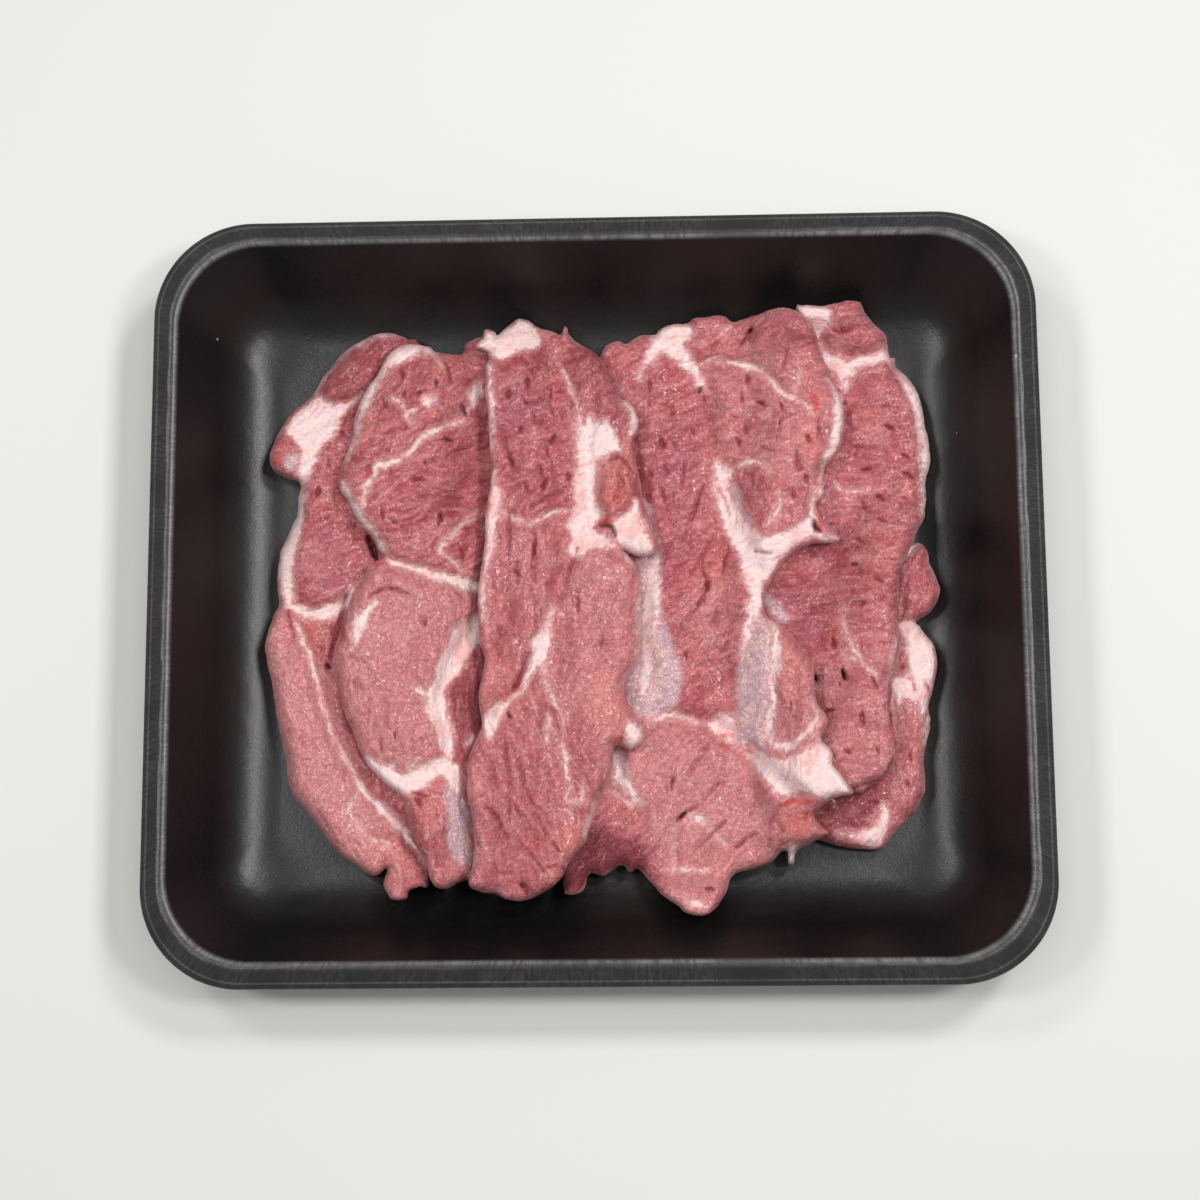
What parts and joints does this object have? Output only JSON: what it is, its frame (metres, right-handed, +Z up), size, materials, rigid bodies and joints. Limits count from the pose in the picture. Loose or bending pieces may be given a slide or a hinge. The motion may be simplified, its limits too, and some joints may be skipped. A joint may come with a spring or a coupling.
{
  "type": "meat tray pack",
  "caption": "Black foam tray with rounded rim holding raw pork shoulder slices laid over each other like shingles.",
  "frame": {"origin": "middle of the tray's flat base, on the surface that it rests on", "axes": "+X along the tray's long side, +Y towards its far side, +Z up out of the tray"},
  "size_m": [0.2686, 0.2326, 0.0319],
  "materials": {
    "foam": "black expanded foam, satin, fine grain",
    "meat": "raw moist pork, pink muscle with white fat"
  },
  "bodies": {
    "root": {"tray": "foam", "slice_right_low": "meat", "slice_right": "meat", "slice_left_low": "meat", "slice_centre_right": "meat", "slice_left": "meat", "slice_centre_left": "meat"}
  },
  "joints": []
}
